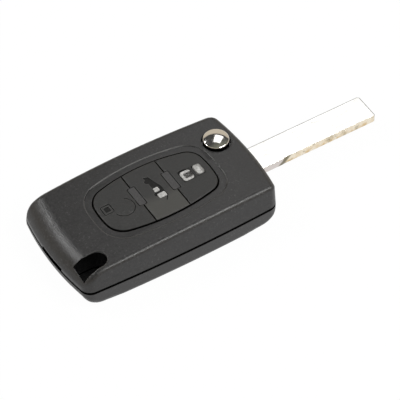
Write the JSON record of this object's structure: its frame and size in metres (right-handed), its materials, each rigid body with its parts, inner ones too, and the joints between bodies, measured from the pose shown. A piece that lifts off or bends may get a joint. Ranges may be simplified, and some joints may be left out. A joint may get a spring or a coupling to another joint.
{
  "type": "flip key remote",
  "caption": "Flat rounded remote with a fold-out steel key blade, a domed release button, a pad of pictogram keys and a key-ring slot in one corner.",
  "frame": {"origin": "middle of the shell's length and width, on its flat back face", "axes": "+X along the shell towards the blade, +Y towards the side that the blade folds into, +Z out of the front with the keys"},
  "size_m": [0.1043, 0.036, 0.0154],
  "materials": {
    "shell_plastic": "fine spark-eroded matte black, polished by wear on its edges",
    "key_plastic": "soft matte black with worn pale symbols",
    "frame_plastic": "matte black",
    "board": "glass-fibre board under green lacquer",
    "switch": "black switch body",
    "chip_plastic": "black moulded resin",
    "cell_steel": "nickel-plated steel",
    "contact_metal": "gilt spring brass",
    "hub_metal": "die-cast, tumbled",
    "blade_steel": "nickel-plated, satin faces and a milled edge",
    "spring_steel": "drawn wire",
    "button_chrome": "bright chrome",
    "symbol_paint": "pale worn paint in the engraved pictures"
  },
  "bodies": {
    "shell": {"front_cover": "shell_plastic", "back_cover": "shell_plastic", "key_frame": "frame_plastic", "circuit_board": "board", "switch_lock": "switch", "switch_tailgate": "switch", "switch_unlock": "switch", "control_chip": "chip_plastic", "coin_cell": "cell_steel", "battery_contact": "contact_metal", "battery_strap": "contact_metal", "transponder": "chip_plastic"},
    "flip": {"flip_hub": "hub_metal", "blade": "blade_steel", "hub_clip": "spring_steel", "flip_spring": "spring_steel"},
    "release": {"release_button": "button_chrome"},
    "lock_key": {"key_lock": "key_plastic"},
    "tailgate_key": {"key_tailgate": "key_plastic"},
    "unlock_key": {"key_unlock": "key_plastic"}
  },
  "joints": [
    {"name": "blade_flip", "type": "hinge", "parent": "shell", "child": "flip", "pos_m": [0.02555, 0.007, 0.0064], "axis": [0, 0, 1], "range_deg": [0, 180], "stiffness_Nm_per_rad": 0.01, "springref_deg": -28.65},
    {"name": "release_press", "type": "slide", "parent": "flip", "child": "release", "axis": [0, 0, -1], "range_m": [0, 0.0012], "stiffness_N_per_m": 1500, "springref_m": -0.0008, "deforming": ["flip_spring"]},
    {"name": "lock_key_press", "type": "slide", "parent": "shell", "child": "lock_key", "axis": [0, 0, -1], "range_m": [0, 0.0005], "stiffness_N_per_m": 2000, "springref_m": -0.0002},
    {"name": "tailgate_key_press", "type": "slide", "parent": "shell", "child": "tailgate_key", "axis": [0, 0, -1], "range_m": [0, 0.0005], "stiffness_N_per_m": 2000, "springref_m": -0.0002},
    {"name": "unlock_key_press", "type": "slide", "parent": "shell", "child": "unlock_key", "axis": [0, 0, -1], "range_m": [0, 0.0005], "stiffness_N_per_m": 2000, "springref_m": -0.0002}
  ]
}
